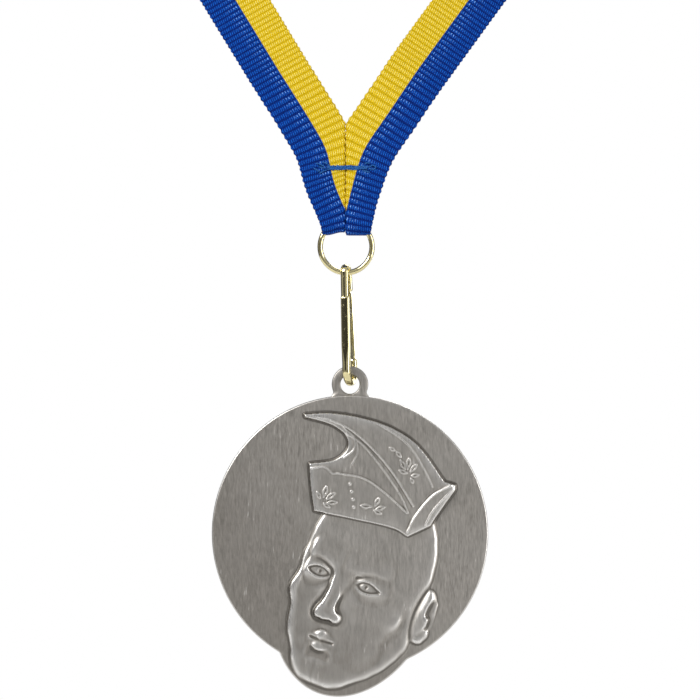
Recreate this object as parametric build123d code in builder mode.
"""Medal hanging on a neck ribbon: struck disc, carabiner clip, wire ring and woven ribbon loop.

Millimetres. +Z is up, +X is to the right of the medal's face and the face looks towards -Y.
The origin is the nape point of the ribbon loop, where the wearer's neck carries it."""

import os
from math import asin, atan, cos, degrees, radians, sin, sqrt, tan

from build123d import *

os.makedirs("parts", exist_ok=True)

# ---- Driving dimensions ----------------------------------------------------------------------
disc_radius = 25.0
disc_thickness = 2.5
cap_height, head_height = 1.2, 0.9  # cap and head stand this far out of the face
rim_break = 0.3  # small bevel round the edge of the disc

head_centre = (1.5, -9.0)  # from the disc's centre, in the plane of the face
head_half_width, head_half_height = 13.5, 20.0
head_tilt = -20.0  # crown to the right, chin to the left
lobe_margin = 1.2  # flat step left round the chin where it passes the disc
ear_centre, ear_half_width, ear_half_height = (13.6, -15.0), 2.4, 4.6
ear_tilt = -28.0

eyelet_height = 27.0  # eyelet's centre above the disc's centre
eyelet_radius, eyelet_hole_radius = 3.3, 1.725
eyelet_thickness = 2.0
foot_width, foot_drop = 6.4, 3.6  # the foot runs into the disc, this far below the centre

hook_radius = 1.75  # inside of the clip's hook
hook_bar = 1.25  # height of the bar at the hook
eye_radius = 0.75  # inside of the clip's eye
eye_bar = 0.8
clip_width = 1.4
clip_edge_round = 0.3
clip_yaw = 16.0  # the clip hangs turned a little out of line with the medal
seat_clearance = 0.24  # between pieces that hang on each other
hole_break = 0.25  # bevel round the eyelet's hole

gate_top, gate_bottom = 43.9, 31.45  # heights above the disc's centre
pivot_height = 43.1
gate_wall = 0.3
gate_gap = 0.12  # between gate and nose
gate_reach = 0.55  # the gate's ears end this far above the pivot
lug_radius, lug_width = 0.5, 0.6
lug_stem = 1.4  # from the rivet up into the body
lug_clearance = 0.05  # each side of the lug, and round its end
lip_lap, lip_wall = 0.7, 0.35  # the nose's outer lip, which the gate shuts against
lip_root, lip_inset = 0.3, 0.2  # how far it runs down into the nose, and in from its sides
rivet_radius = 0.25
rivet_clearance = 0.03  # radial, between the rivet and the lug it turns in
spring_radius, spring_wire, spring_pitch = 0.22, 0.12, 0.36
spring_offset = 0.2  # the spring lies this far inside the gate's middle line
spring_length = 3.6

ring_wire_radius = 0.5
ring_radius = 4.7  # to the middle of the wire
ring_joint = 1.5  # degrees left open between the ends of the wire
ring_height = 51.9  # ring's centre above the disc's centre
ring_shift = -0.7  # the ring hangs a little left of the medal's middle line
ring_offset = 0.8  # and a little right of where the ribbon's middle lines meet

ribbon_width = 11.0
ribbon_thickness = 0.45
ribbon_length = 800.0  # the whole band, end to end
cone_half_angle = 19.0  # the loop lies as on a cone, which gives the V its slope
loop_tilt = 2.3  # the loop hangs a little askew
stations = 18  # cross-sections along each half of the loop

fold_bottom = 53.8  # lowest point of the fold, above the disc's centre
fold_gap = 1.1  # half of the room left for the ring inside the fold
fold_wall = 2 * ribbon_thickness  # two plies of ribbon on each side
fold_pass = 3.0  # half width of the ribbon where it goes through the ring
pocket_top, pocket_tip = 63.0, 0.05  # the room for the ring closes here, to this half width
cross_height = 64.6  # where the middle lines of the two legs meet
fold_top = 68.0  # the legs start to lean back here
stitch_height = 66.0
tail_length = 6.0  # the ends reach this far beyond the seam, both together
seam_overlap = 3.5  # the loop runs this far into the sewn stack
stitch_size = (7.2, 1.4)  # width and height of the sewn bar
thread_height = 0.25  # the bar of thread stands this far out of the ribbon

# ---- The loop's geometry ---------------------------------------------------------------------
# Unrolled, a ribbon lying on a cone is a straight strip. It is nearest the apex at the nape.
cone_sine, cone_cosine = sin(radians(cone_half_angle)), cos(radians(cone_half_angle))
half_sector = 180.0 * cone_sine  # unrolled angle from the nape to the front, in degrees
end_length = 2 * (stitch_height - fold_bottom) + tail_length
slant_front = (ribbon_length - 2 * end_length) / (2 * sin(radians(half_sector)))
slant_nape = slant_front * cos(radians(half_sector))

loop_depth = (slant_front + slant_nape) * cone_sine
loop_drop = (slant_front - slant_nape) * cone_cosine
lean = tan(radians(cone_half_angle))  # the legs lean back as they rise

cross_x = -loop_drop * sin(radians(loop_tilt))
cross_z = -loop_drop * cos(radians(loop_tilt))
ring_x = cross_x + ring_offset
medal_x = ring_x - ring_shift
medal_z = cross_z - cross_height
medal_y = -loop_depth + (fold_top - cross_height) * lean + fold_wall * 0.75


def face_plane(depth, x=medal_x):
    """Plane parallel to the medal's face: depth in front of the medal's middle plane."""
    return Plane(origin=(x, medal_y - depth, medal_z), x_dir=(1, 0, 0), z_dir=(0, -1, 0))


def side_plane(x=ring_x):
    """Plane square to X, with heights above the disc's centre and +Y to the right."""
    return Plane(origin=(x, medal_y, medal_z), x_dir=(0, 1, 0), z_dir=(1, 0, 0))


# ---- Medal: one struck blank with its eyelet -------------------------------------------------
half_disc = disc_thickness / 2

with BuildPart() as medal:
    with BuildSketch(face_plane(-half_disc)):
        Circle(disc_radius)
        with Locations(Location((*head_centre, 0), (0, 0, head_tilt))):
            Ellipse(head_half_width + lobe_margin, head_half_height + lobe_margin)
    extrude(amount=disc_thickness)
    chamfer(medal.edges().filter_by(Plane.XZ), rim_break)
    with BuildSketch(face_plane(-eyelet_thickness / 2)):
        with Locations((0, eyelet_height)):
            Circle(eyelet_radius)
        with Locations((0, eyelet_height - foot_drop / 2)):
            Rectangle(foot_width, foot_drop)
        with Locations((0, eyelet_height)):
            Circle(eyelet_hole_radius, mode=Mode.SUBTRACT)
    extrude(amount=eyelet_thickness)
    chamfer(medal.edges().filter_by(GeomType.CIRCLE).filter_by(
        lambda e: abs(e.radius - eyelet_hole_radius) < 0.01), hole_break)

    # Raised head, with its ear at the right.
    with BuildSketch(face_plane(half_disc)):
        with Locations(Location((*head_centre, 0), (0, 0, head_tilt))):
            Ellipse(head_half_width, head_half_height)
        with Locations(Location((*ear_centre, 0), (0, 0, ear_tilt))):
            Ellipse(ear_half_width, ear_half_height)
    extrude(amount=head_height)

    # Raised pointed cap: tip at the upper left, deep notch in front, turned-up flap at the right.
    with BuildSketch(face_plane(half_disc)):
        with BuildLine():
            crown = Spline((-8.2, 21.9), (3.1, 20.7), (11.9, 16.3), (17.1, 9.4))
            flap = Polyline(crown @ 1, (19.1, 8.4), (14.5, 1.5), (10.3, -0.6))
            brim = ThreePointArc(flap @ 1, (1.5, 2.9), (-6.5, 4.2))
            front = Line(brim @ 1, (-7.4, 12.7))
            notch = Spline(front @ 1, (-1.7, 13.7), (-0.6, 17.0), (-5.0, 20.0), (-8.2, 21.2))
            Line(notch @ 1, crown @ 0)
        make_face()
    extrude(amount=cap_height)

medal.part.label = "medal"

# ---- Clip: pear-shaped carabiner body --------------------------------------------------------
# The eyelet's band sits in the hook on its two lower edges, and the ring's wire in the eye.
band_half = eyelet_thickness / 2 / cos(radians(clip_yaw)) + seat_clearance / 2
hole_top = eyelet_height + eyelet_hole_radius
hook_centre = hole_top + sqrt((hook_radius - seat_clearance) ** 2 - band_half**2)
ring_low = ring_height - ring_radius  # middle of the wire at its lowest point
eye_centre = ring_low + ring_wire_radius + seat_clearance - eye_radius

clip_lean = degrees(asin(ring_shift / (eye_centre - hook_centre)))
hook_point = Vector(medal_x, medal_y, medal_z + hook_centre)
clip_up = Vector(0, 0, 1).rotate(Axis.Y, clip_lean)
clip_cross = Vector(1, 0, 0).rotate(Axis.Y, clip_lean).rotate(Axis((0, 0, 0), clip_up), -clip_yaw)
clip_rise = (eye_centre - hook_centre) / cos(radians(clip_lean))


def clip_plane(offset=0.0):
    """The clip's own plane: x towards the gate, y from the hook up to the eye."""
    origin = hook_point + clip_cross * offset
    return Plane(origin=origin, x_dir=clip_up.cross(clip_cross), z_dir=clip_cross)


def pear(hook_r, eye_r):
    """Outline round the hook's circle and the eye's circle."""
    with BuildSketch(mode=Mode.PRIVATE) as outline:
        Circle(hook_r)
        with Locations((0, clip_rise)):
            Circle(eye_r)
        make_hull()
    return outline.sketch


pivot = pivot_height - hook_centre
gate_low = gate_bottom - hook_centre
gate_high = gate_top - hook_centre
slope = (hook_radius + hook_bar / 2 - eye_radius - eye_bar / 2) / clip_rise
pivot_x = hook_radius + hook_bar / 2 - slope * pivot
gate_middle = (gate_low + gate_high) / 2
lip_x = hook_radius + hook_bar - lip_wall / 2 - slope * gate_low

with BuildPart() as clip_body:
    with BuildSketch(clip_plane()):
        add(pear(hook_radius + hook_bar, eye_radius + eye_bar))
        add(pear(hook_radius, eye_radius), mode=Mode.SUBTRACT)
        with Locations((2 * hook_radius, gate_middle)):
            Rectangle(4 * hook_radius, gate_high - gate_low, mode=Mode.SUBTRACT)
    extrude(amount=clip_width / 2, both=True)
    fillet(clip_body.edges().filter_by(lambda e: abs(e.center().sub(hook_point).dot(clip_cross))
                                       > clip_width / 2 - 0.01), clip_edge_round)
    # Thin lug that the gate straddles, drilled for the rivet.
    with BuildSketch(clip_plane()):
        with Locations((pivot_x, pivot)):
            Circle(lug_radius)
        with Locations((pivot_x, pivot + lug_stem / 2)):
            Rectangle(2 * lug_radius, lug_stem)
        with Locations((pivot_x, pivot)):
            Circle(rivet_radius + rivet_clearance, mode=Mode.SUBTRACT)
    extrude(amount=lug_width / 2, both=True)
    # Lip on the nose, outside the gate, which the spring shuts the gate against.
    with BuildSketch(clip_plane()):
        with Locations((lip_x, gate_low + (lip_lap - lip_root) / 2)):
            Rectangle(lip_wall, lip_lap + lip_root)
    extrude(amount=clip_width / 2 - lip_inset, both=True)

clip_body.part.label = "clip_body"

# ---- Gate: channel on its rivet, with its spring ---------------------------------------------
gate_length = pivot + gate_reach - gate_low - gate_gap
slot_width = lug_width + 2 * lug_clearance
slot_depth = 2.0  # cuts from the gate's outer wall out through its inside
gate_turn = degrees(atan(slope))

with BuildPart() as clip_gate:
    with BuildSketch(clip_plane()):
        add(pear(hook_radius + hook_bar, eye_radius + eye_bar))
        add(pear(hook_radius, eye_radius), mode=Mode.SUBTRACT)
        with Locations((2 * hook_radius, gate_low + gate_gap + gate_length / 2)):
            Rectangle(4 * hook_radius, gate_length, mode=Mode.INTERSECT)
        # The low end is thinned on the outside, where the nose's lip laps it.
        with Locations((lip_x - lip_wall / 2 - gate_gap + hook_bar, gate_low)):
            Rectangle(2 * hook_bar, 2 * (lip_lap + gate_gap), mode=Mode.SUBTRACT)
    extrude(amount=clip_width / 2, both=True)
    # The channel is open on the inside of the clip, and at the top on both sides.
    with BuildSketch(clip_plane()):
        with Locations(Location((pivot_x, pivot, 0), (0, 0, gate_turn))):
            with Locations(((gate_wall - slot_depth) / 2, -spring_length / 2)):
                Rectangle(slot_depth, spring_length + 2 * lug_radius)
        with Locations((pivot_x, pivot)):
            Circle(lug_radius + lug_clearance)
        with Locations((pivot_x, pivot + lug_stem / 2)):
            Rectangle(2 * (lug_radius + lug_clearance), lug_stem)
    extrude(amount=slot_width / 2, both=True, mode=Mode.SUBTRACT)
    with BuildSketch(clip_plane()):
        with Locations((pivot_x, pivot)):
            Circle(rivet_radius)
    extrude(amount=clip_width, both=True, mode=Mode.SUBTRACT)

clip_gate.part.label = "clip_gate"

with BuildPart() as gate_rivet:
    with BuildSketch(clip_plane()):
        with Locations((pivot_x, pivot)):
            Circle(rivet_radius)
    extrude(amount=clip_width / 2, both=True)

gate_rivet.part.label = "gate_rivet"

gate_pivot = clip_plane().from_local_coords((pivot_x, pivot, 0))
spring_seat = clip_plane().from_local_coords((pivot_x - spring_offset, pivot, 0))
spring_down = clip_plane().from_local_coords((pivot_x + slope, pivot - 1, 0)) - gate_pivot
spring_start = lug_radius + lug_clearance + spring_wire
spring_travel = spring_length - 2 * spring_wire - lug_clearance

with BuildPart() as gate_spring:
    with BuildLine():
        coil = Helix(pitch=spring_pitch, height=spring_travel, radius=spring_radius,
                     center=spring_seat + spring_down * spring_start, direction=spring_down)
    with BuildSketch(Plane(origin=coil @ 0, z_dir=coil % 0)):
        Circle(spring_wire / 2)
    sweep(path=coil, is_frenet=True)

gate_spring.part.label = "gate_spring"

# ---- Ring: one wire bent round, its joint hidden in the ribbon's fold ------------------------
ring_middle = Vector(ring_x, medal_y, medal_z + ring_height)

with BuildPart() as suspension_ring:
    with BuildSketch(side_plane()):
        with Locations((0, ring_height + ring_radius)):
            Circle(ring_wire_radius)
    revolve(axis=Axis(ring_middle, (0, 1, 0)), revolution_arc=360 - ring_joint)

suspension_ring.part.label = "suspension_ring"


# ---- Ribbon: the neck loop and the sewn fold -------------------------------------------------
def loop_section(length):
    """Plane square to the ribbon at this length from the nape, x across the ribbon's width."""
    unrolled = atan(length / slant_nape)
    azimuth = unrolled / cone_sine
    slant = slant_nape / cos(unrolled)
    down = Vector(cone_sine * sin(azimuth), cone_sine * cos(azimuth), -cone_cosine)
    around = Vector(cos(azimuth), -sin(azimuth), 0)
    apex = Vector(0, -slant_nape * cone_sine, slant_nape * cone_cosine)
    along = down * sin(unrolled) + around * cos(unrolled)
    across = down * cos(unrolled) - around * sin(unrolled)
    return Plane(origin=apex + down * slant, x_dir=across, z_dir=along)


half_loop = slant_nape * tan(radians(half_sector)) - seam_overlap
fold_radius = fold_gap + fold_wall

with BuildPart() as neck_loop:
    for step in range(stations + 1):
        with BuildSketch(loop_section(half_loop * step / stations)):
            Rectangle(ribbon_width, ribbon_thickness)
    loft(ruled=True)
    mirror(about=Plane.YZ)

with BuildPart() as fold:
    with BuildSketch(side_plane()):
        with Locations((0, fold_bottom + fold_radius)):
            Circle(fold_radius)
        with Locations((0, stitch_height)):
            Rectangle(2 * fold_wall, 2 * (fold_top - stitch_height))
        make_hull()
    extrude(amount=ribbon_width, both=True)
    # Room for the ring between the front and back plies, open at both ends.
    with BuildSketch(side_plane()):
        with Locations((0, fold_bottom + fold_radius)):
            Circle(fold_gap)
        with Locations((0, pocket_top)):
            Circle(pocket_tip)
        make_hull()
    extrude(amount=ribbon_width, both=True, mode=Mode.SUBTRACT)
    for side in (-1, 1):
        with BuildSketch(side_plane(ring_x + side * (fold_pass + ribbon_width / 2))):
            with Locations((0, fold_bottom + fold_radius / 2)):
                Rectangle(2 * fold_gap, fold_radius)
        extrude(amount=ribbon_width / 2, both=True, mode=Mode.SUBTRACT)
    # Seen from the front the sewn stack narrows towards the ring.
    with BuildSketch(face_plane(0, ring_x)):
        with BuildLine():
            right = Polyline((0, 53.0), (4.1, 53.0), (4.4, 54.4), (5.9, 58.7), (8.2, 65.2),
                             (9.0, fold_top), (0, fold_top))
            mirror(right, about=Plane.YZ)
        make_face()
    extrude(amount=ribbon_width, both=True, mode=Mode.INTERSECT)

with BuildPart() as ribbon:
    add(neck_loop.part.rotate(Axis.Y, loop_tilt))
    add(fold.part)

ribbon.part.label = "ribbon"

# ---- Stitching: bar of thread on the front and the back of the seam --------------------------
with BuildPart() as ribbon_stitching:
    for depth in (fold_wall, -fold_wall - thread_height):
        with BuildSketch(face_plane(depth, ring_x)):
            with Locations((0, stitch_height)):
                RectangleRounded(*stitch_size, radius=0.5)
        extrude(amount=thread_height)

ribbon_stitching.part.label = "ribbon_stitching"

# ---- Write the pieces ------------------------------------------------------------------------
pieces = (medal, clip_body, clip_gate, gate_rivet, gate_spring, suspension_ring, ribbon,
          ribbon_stitching)
for piece in pieces:
    export_step(piece.part, f"parts/{piece.part.label}.step")
    print(piece.part.label, len(piece.part.solids()), piece.part.bounding_box())
